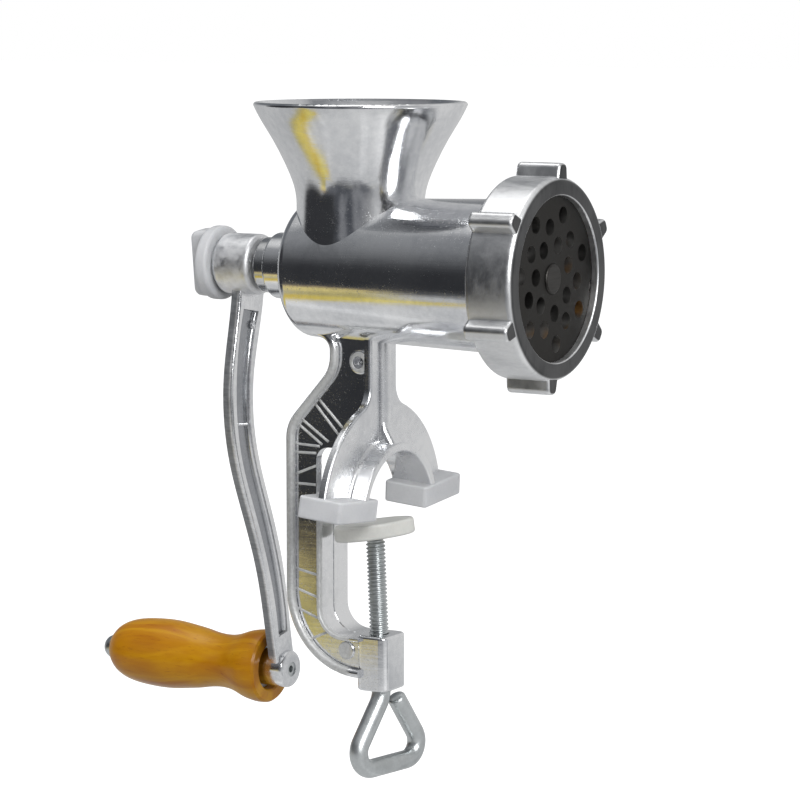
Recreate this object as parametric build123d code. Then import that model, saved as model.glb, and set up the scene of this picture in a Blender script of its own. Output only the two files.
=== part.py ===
from build123d import *
import os
from math import sin, cos, tan, acos, atan2, radians, degrees, pi, sqrt

# Hand crank meat grinder, table-clamp pattern, cast aluminium, 54 mm plate.
# Row frame: +X along the barrel towards the plate, +Z up, Y = 0 is the mid-plane.
# Origin: the table-top plane (underside of the two foot pads), between the pads.
# Shapes are drawn in the barrel frame (barrel axis x hopper axis) and shifted at the end.

# ---------------------------------------------------------------- driving dimensions (mm)
HOPPER_X = -7.65          # hopper axis, row frame
BARREL_Z = 76.4           # barrel axis above the table plane

# barrel and nose
BAR_R_REAR = 22.2
BAR_R_FRONT = 24.25
BAR_X_REAR = -18.8
REAR_BOSS_R = 10.7
REAR_BOSS_X = -31.3
BORE_R = 19.6
BORE_X_REAR = -15.5
NOSE_X0 = 57.6
NOSE_X1 = 68.3
NOSE_R = 29.0
CAVITY_X = 60.3
CAVITY_R = 25.6
SEAT_X = 64.85
SEAT_R = 27.1

# hopper (radius, height) outside and inside
HOPPER_OUT = [(33.9, 52.0), (31.7, 47.7), (28.25, 42.0), (25.2, 36.3), (22.55, 30.5), (20.75, 24.8), (20.45, 18.0), (20.4, 4.0)]
HOPPER_IN = [(31.9, 52.6), (29.2, 47.7), (25.75, 42.0), (22.7, 36.3), (19.9, 30.5), (17.7, 24.8), (16.6, 18.0), (16.5, 6.0)]
HOPPER_TOP = 53.3

# C-shaped clamp frame
WEB_Y0 = -6.6             # the web stands near the front, the channel is open at the back
WEB_Y1 = -3.4
FLANGE_W = 18.0
FLANGE_T = 2.8
INNER_FLANGE_W = 17.6
INNER_FLANGE_T = 1.3
FRAME_OUTER = [(-15.0, -20.6), (-6.7, -22.4, 4.0), (-6.7, -31.3, 10.0), (-23.4, -50.2, 12.0), (-23.5, -131.0, 27.0), (4.0, -131.0)]
FRAME_INNER = [(4.0, -117.9), (-10.45, -117.9, 8.5), (-10.45, -78.0)]

# saddle arch over the table edge
ARCH_Z = -78.0
ARCH_R_IN = 20.4
ARCH_R_OUT = 36.5
ARCH_X0 = 6.2
ARCH_X1 = 8.7
SADDLE_T = 2.75
SADDLE_X0 = 0.1
SADDLE_X1 = 15.1
COLUMN_HALF = 8.0
RIB_HALF = 3.2
RIB_OUT = 2.0
LEG_END_Z = -73.6

# foot pads
PAD_X = 15.8
PAD_Y = 23.0
PAD_T = 7.0
PAD_CX = 7.65
PAD_CY = 26.0
PAD_TOE_X = 5.0           # degrees, inner ends lower
PAD_TOE_Y = 5.0           # degrees, fronts lower

# clamp screw
SCREW_R = 3.175
SCREW_LEAN = 2.65         # degrees, top towards the frame
SCREW_C = (7.18, -126.5)  # axis point (x, z) at mid boss
SCREW_FIT = 0.08
ROD_R = 3.05
LOOP_TURN = -12.0         # degrees about the screw axis
CLAMP_BOSS = (1.8, 13.1, 7.0, -135.2, -117.2)   # x0, x1, half y, z0, z1
DISC_R = 13.0
DISC_T = 5.0
DISC_C = (4.95, -83.5)
DISC_TILT = 9.0

# drive train
JOURNAL_R = 6.4
SQUARE_REAR = 9.0
FLIGHT_R = 19.0
CORE_R = 8.2
SPIGOT_R = 4.75
PLATE_R = 27.0
PLATE_X0 = 64.9
PLATE_X1 = 69.35
PLATE_HOLE_R = 2.7
RING_X0 = 55.7
RING_X1 = 71.9
RING_R = 31.5
RING_OPEN_R = 25.75
RING_BORE_R = 29.35
LUG_R = 35.7
LUG_W = 5.2

# crank
ARM_X0 = -46.1
ARM_X1 = -42.6
HUB_X0 = -51.0
HUB_X1 = -37.4
HUB_R = 9.9
ARM_LINE = [(2.2, -2.0), (0.8, -15.2), (-3.9, -37.0), (-2.0, -61.0), (6.1, -82.1), (14.1, -103.6), (18.9, -126.0), (21.5, -138.0)]
ARM_HALF = [7.1, 6.9, 6.5, 6.2, 5.9, 5.6, 5.2, 5.0]
CHANNEL_D = 1.5           # depth of the arm's front channel
GRIP_Y = 21.5
GRIP_Z = -138.3
GRIP_BOSS_R = 6.3
GRIP_BOSS_X0 = -52.3
GRIP_BOSS_X1 = -40.9
SPINDLE_R = 3.5


# ---------------------------------------------------------------- helpers
def outline(pts):
    """Closed planar face from corners (x, y[, corner radius])."""
    n = len(pts)
    cut = []
    for i in range(n):
        p = Vector(pts[i][0], pts[i][1])
        r = pts[i][2] if len(pts[i]) > 2 else 0
        if r <= 0:
            cut.append((p, None, p))
            continue
        a = Vector(pts[i - 1][0], pts[i - 1][1])
        b = Vector(pts[(i + 1) % n][0], pts[(i + 1) % n][1])
        u = (a - p).normalized()
        v = (b - p).normalized()
        ang = acos(max(-1, min(1, u.dot(v))))
        if abs(ang - pi) < 1e-4:
            cut.append((p, None, p))
            continue
        t = r / tan(ang / 2)
        bis = (u + v).normalized()
        c = p + bis * (r / sin(ang / 2))
        cut.append((p + u * t, c - bis * r, p + v * t))
    edges = []
    for i in range(n):
        s, m, e = cut[i]
        if m is not None:
            edges.append(ThreePointArc(s, m, e))
        nx = cut[(i + 1) % n][0]
        if (nx - e).length > 1e-5:
            edges.append(Line(e, nx))
    return make_face(edges)


def band(pts, t):
    """Closed planar face: an open path (x, y[, r]) thickened by t to its left."""
    P = [Vector(p[0], p[1]) for p in pts]
    R = [p[2] if len(p) > 2 else 0 for p in pts]
    d = [(P[i + 1] - P[i]).normalized() for i in range(len(P) - 1)]
    nrm = [Vector(-v.Y, v.X) for v in d]
    Q, RQ = [], []
    for i, p in enumerate(P):
        if i == 0:
            Q.append(p + nrm[0] * t)
            RQ.append(0)
        elif i == len(P) - 1:
            Q.append(p + nrm[-1] * t)
            RQ.append(0)
        else:
            k = t / (1 + nrm[i - 1].dot(nrm[i]))
            Q.append(p + (nrm[i - 1] + nrm[i]) * k)
            turn = d[i - 1].X * d[i].Y - d[i - 1].Y * d[i].X
            RQ.append(max(R[i] - t, 0.4) if turn > 0 else R[i] + t)
    ring = [(p.X, p.Y, r) for p, r in zip(P, R)]
    ring += [(q.X, q.Y, r) for q, r in zip(Q[::-1], RQ[::-1])]
    return outline(ring)


def rev_x(pts):
    """Solid of revolution about the barrel axis from (x, radius[, fillet])."""
    return revolve(outline(pts), Axis.X)


def xz_plate(face, y0, y1):
    """Extrude an (x, z) face between two y values."""
    return extrude(Plane(origin=(0, y1, 0), x_dir=(1, 0, 0), z_dir=(0, -1, 0)) * face, amount=y1 - y0)


def yz_plate(face, x0, x1):
    """Extrude a (y, z) face between two x values."""
    return extrude(Plane(origin=(x0, 0, 0), x_dir=(0, 1, 0), z_dir=(1, 0, 0)) * face, amount=x1 - x0)


def cyl_x(r, x0, x1, y=0.0, z=0.0):
    return Pos((x0 + x1) / 2, y, z) * (Rot(0, 90, 0) * Cylinder(r, x1 - x0))


def soften(part, edges, radius):
    """Fillet the listed edges, stepping the radius down where one does not fit."""
    for r in (radius, radius * 0.6, radius * 0.35):
        try:
            out = fillet(edges, r)
            if out.is_valid and out.volume > 0:
                return out
        except Exception:
            pass
    return part


# ---------------------------------------------------------------- body casting
barrel = rev_x([(REAR_BOSS_X, 0), (REAR_BOSS_X, REAR_BOSS_R, 1.0), (BAR_X_REAR, REAR_BOSS_R, 1.6),
                (BAR_X_REAR, BAR_R_REAR, 3.4), (NOSE_X0, BAR_R_FRONT, 2.4), (NOSE_X0, NOSE_R, 0.5),
                (NOSE_X1, NOSE_R, 0.6), (NOSE_X1, 0)])

hop_out_edge = Spline(*[(r, z) for r, z in HOPPER_OUT])
hop_out = make_face([hop_out_edge, Line((HOPPER_OUT[-1][0], HOPPER_OUT[-1][1]), (0, HOPPER_OUT[-1][1])),
                     Line((0, HOPPER_OUT[-1][1]), (0, HOPPER_TOP)), Line((0, HOPPER_TOP), (33.0, HOPPER_TOP)),
                     ThreePointArc((33.0, HOPPER_TOP), (33.8, 52.95), HOPPER_OUT[0])])
hopper = Rot(90, 0, 0) * revolve(hop_out, Axis.Y)
hop_in_edge = Spline(*[(r, z) for r, z in HOPPER_IN])
hop_in = make_face([hop_in_edge, Line(HOPPER_IN[-1], (HOPPER_IN[-1][0], 0.0)), Line((HOPPER_IN[-1][0], 0.0), (0, 0)),
                    Line((0, 0), (0, HOPPER_TOP + 1)), Line((0, HOPPER_TOP + 1), (32.6, HOPPER_TOP + 1)),
                    Line((32.6, HOPPER_TOP + 1), HOPPER_IN[0])])
hopper_space = Rot(90, 0, 0) * revolve(hop_in, Axis.Y)

web = xz_plate(outline([FRAME_OUTER[0], FRAME_OUTER[1], FRAME_OUTER[2], FRAME_OUTER[3], FRAME_OUTER[4],
                        (6.0, -131.0), (6.0, -117.9), (-10.45, -117.9, 8.5), (-10.45, -78.6, 1.2),
                        (-12.9, -76.0, 2.0), (-12.9, -57.2, 4.5), (7.2, -57.2), (7.2, -18.0), (-15.0, -18.0)]),
               WEB_Y0, WEB_Y1)
outer_flange = xz_plate(band(FRAME_OUTER, FLANGE_T), -FLANGE_W / 2, FLANGE_W / 2)
outer_flange = soften(outer_flange, [e for e in outer_flange.edges() if abs(abs(e.center().Y) - FLANGE_W / 2) < 1e-3 and e.length > 6], 1.3)
inner_flange = xz_plate(band(FRAME_INNER, INNER_FLANGE_T), -INNER_FLANGE_W / 2, INNER_FLANGE_W / 2)
inner_flange = soften(inner_flange, [e for e in inner_flange.edges() if abs(abs(e.center().Y) - INNER_FLANGE_W / 2) < 1e-3 and e.length > 6], 0.45)
cross_walls = [Pos(-16.6, 0.6, z) * Box(11.4, 9.2, 2.0) for z in (-84.0, -106.0)]

# arch: a flat yoke, its saddle band, the column and the column's front rib
jz = ARCH_Z + sqrt(ARCH_R_OUT ** 2 - COLUMN_HALF ** 2)
disc_face = Pos(0, ARCH_Z) * Circle(ARCH_R_OUT)
col_face = Pos(0, (jz - 18.0) / 2) * Rectangle(2 * COLUMN_HALF, -18.0 - jz + 2.0)
yoke_face = disc_face + col_face
inner_corner = [v for v in yoke_face.vertices() if abs(abs(v.X) - COLUMN_HALF) < 0.05 and abs(v.Y - jz) < 0.5]
try:
    yoke_face = fillet(inner_corner, 7.5)
except Exception:
    pass
yoke_face = yoke_face - Pos(0, ARCH_Z) * Circle(ARCH_R_IN)
yoke_face = yoke_face - Pos(0, LEG_END_Z - 60) * Rectangle(200, 120)
yoke = yz_plate(yoke_face, ARCH_X0, ARCH_X1)
yoke = soften(yoke, [e for e in yoke.edges() if abs(e.center().X - ARCH_X1) < 1e-3 and e.center().Z > LEG_END_Z + 1], 1.1)
saddle_face = Pos(0, ARCH_Z) * Circle(ARCH_R_IN + SADDLE_T) - Pos(0, ARCH_Z) * Circle(ARCH_R_IN)
saddle_face = saddle_face - Pos(0, LEG_END_Z - 60) * Rectangle(200, 120)
saddle = yz_plate(saddle_face, SADDLE_X0, SADDLE_X1)
saddle = soften(saddle, [e for e in saddle.edges() if e.center().Z > LEG_END_Z + 1], 0.8)
bead_r = (RIB_HALF ** 2 + RIB_OUT ** 2) / (2 * RIB_OUT)
rib = Pos(ARCH_X1 + RIB_OUT - bead_r, 0, -37.2) * Cylinder(bead_r, 38.4) & Pos(ARCH_X0 + 0.6 + 10, 0, -37.2) * Box(20, 20, 38.4)
flare = xz_plate(outline([(7.0, -44.0), (9.6, -44.0), (10.9, -50.4, 5.0), (14.4, -56.4), (7.0, -56.4)]), -RIB_HALF + 0.3, RIB_HALF - 0.3)
flare = soften(flare, [e for e in flare.edges() if abs(abs(e.center().Y) - RIB_HALF + 0.3) < 1e-3 and e.center().X > 9.0], 2.0)
rib = rib + flare
arch = yoke + saddle + rib


def on_saddle(p, x):
    return abs(p.X - x) < 0.02 and abs(sqrt(p.Y ** 2 + (p.Z - ARCH_Z) ** 2) - ARCH_R_IN - SADDLE_T) < 0.03


front_root = [e for e in arch.edges() if on_saddle(e @ 0.5, ARCH_X1) and on_saddle(e @ 0.2, ARCH_X1)]
back_root = [e for e in arch.edges() if on_saddle(e @ 0.5, ARCH_X0) and on_saddle(e @ 0.2, ARCH_X0)]
rib_root = [e for e in arch.edges() if abs((e @ 0.5).X - ARCH_X1) < 0.02 and abs(abs((e @ 0.5).Y) - RIB_HALF) < 0.02 and e.length > 12]
print("arch root edges", len(front_root), len(back_root), len(rib_root))
before = arch
arch = soften(arch, front_root + rib_root, 2.4)
if arch is before:
    arch = soften(arch, front_root, 2.4)
    if arch is before:
        arch = soften(arch, rib_root, 1.6)
arch_back = [e for e in arch.edges() if on_saddle(e @ 0.5, ARCH_X0) and on_saddle(e @ 0.2, ARCH_X0)]
arch = soften(arch, arch_back, 1.6)
print("arch faces", len(before.faces()), len(arch.faces()))
column_back = xz_plate(outline([(2.0, -18.0), (8.0, -18.0), (8.0, -50.0), (5.0, -50.0, 2.0)]), -4.2, 4.2)

# round lug and a smaller disc on the web, and the lower boss that carries the clamp screw
web_lug = Cylinder(3.9, 5.9)
web_lug = soften(web_lug, web_lug.edges().filter_by(GeomType.CIRCLE), 0.6)
web_lug = Pos(4.2, -4.95, -28.8) * (Rot(90, 0, 0) * web_lug)
web_disc = Cylinder(2.95, 4.4)
web_disc = soften(web_disc, web_disc.edges().filter_by(GeomType.CIRCLE), 0.4)
web_disc = Pos(-1.45, -5.1, -122.6) * (Rot(90, 0, 0) * web_disc)
bx0, bx1, bhy, bz0, bz1 = CLAMP_BOSS
boss = Pos((bx0 + bx1) / 2, 0, (bz0 + bz1) / 2) * Box(bx1 - bx0, 2 * bhy, bz1 - bz0)
boss = soften(boss, boss.edges().filter_by(Axis.Z), 2.6)
boss = soften(boss, boss.faces().sort_by(Axis.Z)[0].edges() + boss.faces().sort_by(Axis.Z)[-1].edges(), 0.9)

casting = barrel + hopper
for piece in (web, outer_flange, inner_flange, *cross_walls, arch, column_back, web_lug, web_disc, boss):
    casting = casting + piece

# hollows: bore, knife cavity, plate seat, hopper throat, bush bore, lug hole, screw hole
bore = rev_x([(BORE_X_REAR, 0), (BORE_X_REAR, BORE_R, 1.2), (CAVITY_X, BORE_R), (CAVITY_X, CAVITY_R), (SEAT_X, CAVITY_R),
              (SEAT_X, SEAT_R), (NOSE_X1 + 2, SEAT_R), (NOSE_X1 + 2, 0)])
casting = casting - bore - hopper_space
casting = casting - cyl_x(8.03, REAR_BOSS_X - 1, BORE_X_REAR + 1)
casting = casting - Pos(3.75, -7.9, -28.9) * (Rot(90, 0, 0) * Cylinder(1.85, 4.4))
screw_loc = Location((SCREW_C[0], 0, SCREW_C[1]), (0, -SCREW_LEAN, 0))
casting = casting - screw_loc * Cylinder(SCREW_R + SCREW_FIT, 40)
KEY_X = 67.05
KEY_TURN = -9.0
casting = casting - Rot(KEY_TURN, 0, 0) * (Pos(KEY_X, 27.5, 0) * (Rot(90, 0, 0) * Cylinder(1.5, 6.0)))

# blend the barrel into the hopper and the stems where the edges allow it
def on_join(p):
    """On the outside of the hopper neck and on the outside of the barrel."""
    bar = BAR_R_REAR + (BAR_R_FRONT - BAR_R_REAR) * (p.X - BAR_X_REAR) / (NOSE_X0 - BAR_X_REAR)
    return 4 < p.Z < 23.5 and abs(sqrt(p.Y ** 2 + p.Z ** 2) - bar) < 0.05 and 20.0 < sqrt(p.X ** 2 + p.Y ** 2) < 20.9


hop_join = [e for e in casting.edges() if on_join(e @ 0.5) and on_join(e @ 0.25) and on_join(e @ 0.75)]
print("hopper join edges", len(hop_join), [round(e.length, 1) for e in hop_join])
casting = soften(casting, hop_join, 1.6) if hop_join else casting

# ---------------------------------------------------------------- fixed pieces on the casting
bush = rev_x([(REAR_BOSS_X - 4.6, JOURNAL_R + 0.07), (REAR_BOSS_X - 4.6, 9.0, 0.9), (REAR_BOSS_X, 9.0, 0.3),
              (REAR_BOSS_X, 8.0), (BORE_X_REAR, 8.0), (BORE_X_REAR, JOURNAL_R + 0.07)])
washer = rev_x([(BORE_X_REAR, JOURNAL_R + 0.07), (BORE_X_REAR, 12.0), (BORE_X_REAR + 1.5, 12.0), (BORE_X_REAR + 1.5, JOURNAL_R + 0.07)])
key_pin = Pos(KEY_X, 26.85, 0) * (Rot(90, 0, 0) * Cylinder(1.48, 3.5))
key_pin = Rot(KEY_TURN, 0, 0) * soften(key_pin, key_pin.edges().sort_by(Axis.Y)[:1], 0.4)


def foot_pad(side):
    pad = Box(PAD_X, PAD_Y, PAD_T)
    pad = soften(pad, pad.edges().filter_by(Axis.Z), 1.3)
    pad = soften(pad, pad.faces().sort_by(Axis.Z)[-1].edges(), 0.7)
    pad = soften(pad, pad.faces().sort_by(Axis.Z)[0].edges(), 0.7)
    pad = Location((PAD_CX, side * PAD_CY, -BARREL_Z + PAD_T / 2), (side * PAD_TOE_X, PAD_TOE_Y, 0)) * pad
    return pad - casting


pad_left = foot_pad(-1)
pad_right = foot_pad(1)

# ---------------------------------------------------------------- auger, front stud, knife
AUG_X0 = BORE_X_REAR + 1.8
AUG_X1 = 60.0
core = rev_x([(-36.8, 0), (-36.8, JOURNAL_R), (AUG_X0, JOURNAL_R), (AUG_X0, 12.0, 0.8), (-9.0, 12.0, 4.0), (2.0, CORE_R, 8.0),
              (AUG_X1, CORE_R + 1.4, 0.8), (AUG_X1, 0)])
sq = Pos((-47.0 - 36.0) / 2, 0, 0) * Box(11.0, SQUARE_REAR, SQUARE_REAR)
sq = soften(sq, sq.edges().filter_by(Axis.X), 0.5)
auger = core + sq
PITCH = 21.0
H_LEN = 58.0
helix = Helix(pitch=PITCH, height=H_LEN, radius=CORE_R - 1.0)
sec = Plane(origin=helix @ 0, x_dir=(1, 0, 0), z_dir=helix % 0) * make_face(
    Polyline((0, -2.6), (FLIGHT_R - CORE_R + 0.9, -1.3), (FLIGHT_R - CORE_R + 0.9, 1.3), (0, 2.6), close=True))
flight = sweep(sec, path=helix, is_frenet=True)
flight = Pos(-3.5, 0, 0) * (Rot(0, 90, 0) * flight)
flight = flight & cyl_x(FLIGHT_R, AUG_X0 + 0.5, AUG_X1 - 0.4)
auger = auger + flight
auger = auger - cyl_x(4.02, 44.0, AUG_X1 + 1) - cyl_x(3.03, -50.0, -31.0)

stud = cyl_x(4.0, 44.2, AUG_X1) + Pos((AUG_X1 + 64.6) / 2, 0, 0) * Box(64.6 - AUG_X1, 9.5, 9.5)
spig = cyl_x(SPIGOT_R, 64.6, 69.9)
spig = soften(spig, spig.edges().sort_by(Axis.X)[-1:], 0.6)
stud = stud + spig

KN_X0, KN_X1 = 60.7, 64.55
blade = Pos(0, 0) * Circle(9.8)
for a in (0, 90, 180, 270):
    blade = blade + Rot(0, 0, a) * outline([(0, -4.6), (9, -4.6, 6), (24.2, -1.2, 1.2), (24.2, 5.2, 1.2), (9, 4.2, 6), (0, 4.6)])
blade = blade & Circle(24.4)
knife = yz_plate(blade, KN_X0, KN_X1) - Pos((KN_X0 + KN_X1) / 2, 0, 0) * Box(10, 9.64, 9.64)

# ---------------------------------------------------------------- cutting plate and ring nut
plate = cyl_x(PLATE_R, PLATE_X0, PLATE_X1)
plate = soften(plate, plate.edges().filter_by(GeomType.CIRCLE), 0.4)
plate = plate - cyl_x(SPIGOT_R + 0.09, PLATE_X0 - 1, PLATE_X1 + 1)
HOLE_RINGS = [(10.8, 19.7), (16.1, 45.4), (20.4, 19.7)]     # radius, first angle; seven holes each
for r_h, ph in HOLE_RINGS:
    for i in range(7):
        a = radians(ph + 360.0 * i / 7)
        plate = plate - cyl_x(PLATE_HOLE_R, PLATE_X0 - 1, PLATE_X1 + 1, r_h * cos(a), r_h * sin(a))
plate = plate - Rot(KEY_TURN, 0, 0) * (Pos((PLATE_X0 + PLATE_X1) / 2, 27.0, 0) * Box(20, 4.6, 3.7))

ring = rev_x([(RING_X0, RING_BORE_R), (RING_X0, RING_R, 1.4), (RING_X1, RING_R, 2.0), (RING_X1, RING_OPEN_R, 0.7),
              (PLATE_X1 + 0.1, RING_OPEN_R), (PLATE_X1 + 0.1, RING_BORE_R)])
lug_face = outline([(28.5 + 2.4, -LUG_W / 2 - 0.5), (LUG_R, -LUG_W / 2 + 0.3, 1.9), (LUG_R, LUG_W / 2 - 0.3, 1.9), (28.5 + 2.4, LUG_W / 2 + 0.5)])
lug = yz_plate(lug_face, RING_X0 + 0.3, RING_X1 - 0.4)
lug = soften(lug, [e for e in lug.edges() if e.center().Y > LUG_R - 2.4 and (abs(e.center().X - RING_X0 - 0.3) < 1e-3 or abs(e.center().X - RING_X1 + 0.4) < 1e-3)], 1.2)
for i in range(6):
    ring = ring + Rot(25 + 60 * i, 0, 0) * lug

# ---------------------------------------------------------------- crank
def s_curve(side, inset=0.0):
    """Edge of the arm: the centre-line offset by the half width on one side."""
    pts = []
    n = len(ARM_LINE)
    for i, (y, z) in enumerate(ARM_LINE):
        a = ARM_LINE[max(i - 1, 0)]
        b = ARM_LINE[min(i + 1, n - 1)]
        t = Vector(b[0] - a[0], b[1] - a[1]).normalized()
        h = (ARM_HALF[i] - inset) * side
        pts.append((y - t.Y * h, z + t.X * h))
    return pts


left = s_curve(1)
right = s_curve(-1)
arm_face = make_face([Spline(*left), Line(left[-1], right[-1]), Spline(*right[::-1]), Line(right[0], left[0])])
arm = yz_plate(arm_face, ARM_X0, ARM_X1)
li = s_curve(1, 2.5)[1:-1]
ri = s_curve(-1, 2.5)[1:-1]
channel_face = make_face([Spline(*li), Line(li[-1], ri[-1]), Spline(*ri[::-1]), Line(ri[0], li[0])])
arm = soften(arm, [e for e in arm.edges() if e.length > 60 and abs(e.center().X - ARM_X1) < 1e-3], 0.8)
arm = arm - yz_plate(channel_face, ARM_X1 - CHANNEL_D, ARM_X1 + 3) - yz_plate(channel_face, ARM_X0 - 3, ARM_X0 + 0.6)
plain = arm
arm = soften(arm, [e for e in arm.edges() if e.length > 60 and abs(e.center().X - ARM_X1 + CHANNEL_D) < 1e-3], CHANNEL_D - 0.2)
print("arm faces", len(plain.faces()), len(arm.faces()))
hub = rev_x([(HUB_X0, 0), (HUB_X0, HUB_R, 1.2), (HUB_X1, HUB_R, 1.4), (HUB_X1, 0)])
grip_boss = Pos(0, GRIP_Y, GRIP_Z) * rev_x([(GRIP_BOSS_X0, 0), (GRIP_BOSS_X0, GRIP_BOSS_R, 0.5), (GRIP_BOSS_X1, GRIP_BOSS_R, 1.5), (GRIP_BOSS_X1, 0)])
crank = arm + hub + grip_boss
crank = crank - Pos(-42.2, 0, 0) * Box(9.8, SQUARE_REAR + 0.1, SQUARE_REAR + 0.1) - cyl_x(3.35, HUB_X0 - 1, -40)
crank = crank - cyl_x(SPINDLE_R, GRIP_BOSS_X0 - 1, GRIP_BOSS_X1 - 0.4, GRIP_Y, GRIP_Z) - cyl_x(2.5, GRIP_BOSS_X1 - 1, GRIP_BOSS_X1 + 1, GRIP_Y, GRIP_Z)

# ---------------------------------------------------------------- wooden grip on its spindle
GRIP_X0, GRIP_X1 = -113.6, -48.9
grip_pts = [(GRIP_X0, 4.6), (-112.7, 5.9), (-111.7, 7.0), (-110.3, 8.2), (-108.3, 9.35), (-105.6, 10.35), (-102.0, 11.1), (-97.0, 11.6), (-92.0, 11.8),
            (-87.0, 11.6), (-82.0, 11.0), (-77.0, 10.3), (-72.5, 9.45), (-68.0, 9.05), (-64.5, 9.25), (-61.0, 10.1), (-58.0, 11.2), (-55.0, 11.95)]
grip_face = make_face([Line((GRIP_X0, SPINDLE_R + 0.08), grip_pts[0]), Spline(*grip_pts),
                       ThreePointArc(grip_pts[-1], (-52.3, 12.3), (-49.7, 12.15)), Line((-49.7, 12.15), (GRIP_X1, 11.5)),
                       Line((GRIP_X1, 11.5), (GRIP_X1, 8.3)), Line((GRIP_X1, 8.3), (-49.5, 7.8)), Line((-49.5, 7.8), (-53.7, 7.7)),
                       Line((-53.7, 7.7), (-53.7, SPINDLE_R + 0.08)), Line((-53.7, SPINDLE_R + 0.08), (GRIP_X0, SPINDLE_R + 0.08))])
grip = Pos(0, GRIP_Y, GRIP_Z) * revolve(grip_face, Axis.X)
spindle = cyl_x(SPINDLE_R - 0.01, -114.2, GRIP_BOSS_X1 - 1.0) + cyl_x(2.48, GRIP_BOSS_X1 - 1.0, GRIP_BOSS_X1 - 0.4)
dome = Pos(-113.8, 0, 0) * Sphere(4.2) & cyl_x(8.0, -121.0, -113.8)
spindle = Pos(0, GRIP_Y, GRIP_Z) * (spindle + dome)
spindle = spindle - cyl_x(1.2, GRIP_BOSS_X1 - 2.2, GRIP_BOSS_X1 + 1, GRIP_Y, GRIP_Z)
grip_washer = Pos(0, GRIP_Y, GRIP_Z) * rev_x([(-53.4, SPINDLE_R + 0.05), (-53.4, 7.4), (GRIP_BOSS_X0, 7.4), (GRIP_BOSS_X0, SPINDLE_R + 0.05)])

# ---------------------------------------------------------------- thumb screw that holds the crank on its square
TH_X1 = HUB_X0 - 1.1
thumb_washer = rev_x([(HUB_X0 - 1.05, 3.4), (HUB_X0 - 1.05, 8.4), (HUB_X0 - 0.05, 8.4), (HUB_X0 - 0.05, 3.4)])
flange = rev_x([(TH_X1 - 4.6, 0), (TH_X1 - 4.6, 12.1, 1.6), (TH_X1, 12.1, 0.9), (TH_X1, 0)])
wing = xz_plate(outline([(TH_X1 - 10.8, -10.6, 2.6), (TH_X1 - 2.0, -11.2), (TH_X1 - 2.0, 11.2), (TH_X1 - 10.8, 10.6, 2.6)]), -4.2, 4.2)
wing = soften(wing, [e for e in wing.edges() if abs(abs(e.center().Y) - 4.2) < 1e-3 and e.center().X < TH_X1 - 2.5], 1.6)
knob = Rot(6, 0, 0) * (flange + wing)
knob = knob - cyl_x(2.98, TH_X1 - 8.0, TH_X1 + 1)
thumb_stud = cyl_x(2.95, TH_X1 - 7.9, -33.5)
thumb_stud = soften(thumb_stud, thumb_stud.edges().sort_by(Axis.X)[-1:], 0.6)

# ---------------------------------------------------------------- clamp screw and swivel disc (screw's own frame, Z along the screw)
W_DISC = 40.0                      # underside of the disc, along the screw


def open_path(pts):
    n = len(pts)
    edges, last = [], Vector(0, pts[0][0], pts[0][1])
    for i in range(1, n):
        p = Vector(0, pts[i][0], pts[i][1])
        if len(pts[i]) < 3:
            edges.append(Line(last, p))
            last = p
            continue
        a = Vector(0, pts[i - 1][0], pts[i - 1][1])
        b = Vector(0, pts[i + 1][0], pts[i + 1][1])
        u, v = (a - p).normalized(), (b - p).normalized()
        ang = acos(u.dot(v))
        r = pts[i][2]
        t = r / tan(ang / 2)
        bis = (u + v).normalized()
        c = p + bis * (r / sin(ang / 2))
        s, m, e = p + u * t, c - bis * r, p + v * t
        if (s - last).length > 1e-4:
            edges.append(Line(last, s))
        edges.append(ThreePointArc(s, m, e))
        last = e
    return edges


loop_path = [(0.0, -7.0), (0.0, -11.4, 9.0), (-17.6, -34.0, 5.6), (20.0, -34.0, 5.6), (6.9, -13.2)]
loop_wire = Wire(open_path(loop_path))
loop = sweep(Plane(origin=(0, 0, -7.0), z_dir=(0, 0, -1)) * Circle(ROD_R), path=loop_wire)
loop = Rot(0, 0, LOOP_TURN) * loop
rod = Pos(0, 0, (-8.6 + W_DISC - 0.4) / 2) * Cylinder(SCREW_R, W_DISC - 0.4 + 8.6)
neck = Pos(0, 0, W_DISC + 0.6) * Cylinder(2.2, 3.6)
clamp_screw = screw_loc * (rod + neck + loop)

disc_loc = Location((DISC_C[0], 0, DISC_C[1]), (0, -DISC_TILT, 0))
disc = Cylinder(DISC_R, DISC_T)
disc = soften(disc, disc.edges().filter_by(GeomType.CIRCLE), 0.9)
disc = disc_loc * disc
disc = disc - screw_loc * (Pos(0, 0, W_DISC + 0.9) * Cylinder(2.27, 4.0)) - screw_loc * (Pos(0, 0, W_DISC - 10.0) * Cylinder(6.0, 20.0))

# ---------------------------------------------------------------- export
shift = Pos(HOPPER_X, 0, BARREL_Z)
nodes = {
    "body_casting": casting, "shaft_bush": bush, "thrust_washer": washer, "plate_key_pin": key_pin,
    "foot_pad_left": pad_left, "foot_pad_right": pad_right, "auger": auger, "front_stud": stud, "knife": knife,
    "cutting_plate": plate, "ring_nut": ring, "crank_arm": crank, "handle_grip": grip, "handle_spindle": spindle,
    "handle_washer": grip_washer, "thumb_washer": thumb_washer, "thumb_knob": knob, "thumb_stud": thumb_stud,
    "clamp_screw": clamp_screw, "clamp_disc": disc,
}
os.makedirs("parts", exist_ok=True)
for name, solid in nodes.items():
    placed = shift * solid
    solids = placed.solids()
    body = solids[0] if len(solids) == 1 else max(solids, key=lambda s: s.volume)
    print(name, "solids", len(solids), "volume", round(body.volume, 1))
    export_step(body, os.path.join("parts", name + ".step"))
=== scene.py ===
import bpy
import bmesh
from math import sin, cos, pi, radians, sqrt, atan2, tan, acos
from mathutils import Vector, Matrix, Quaternion


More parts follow.
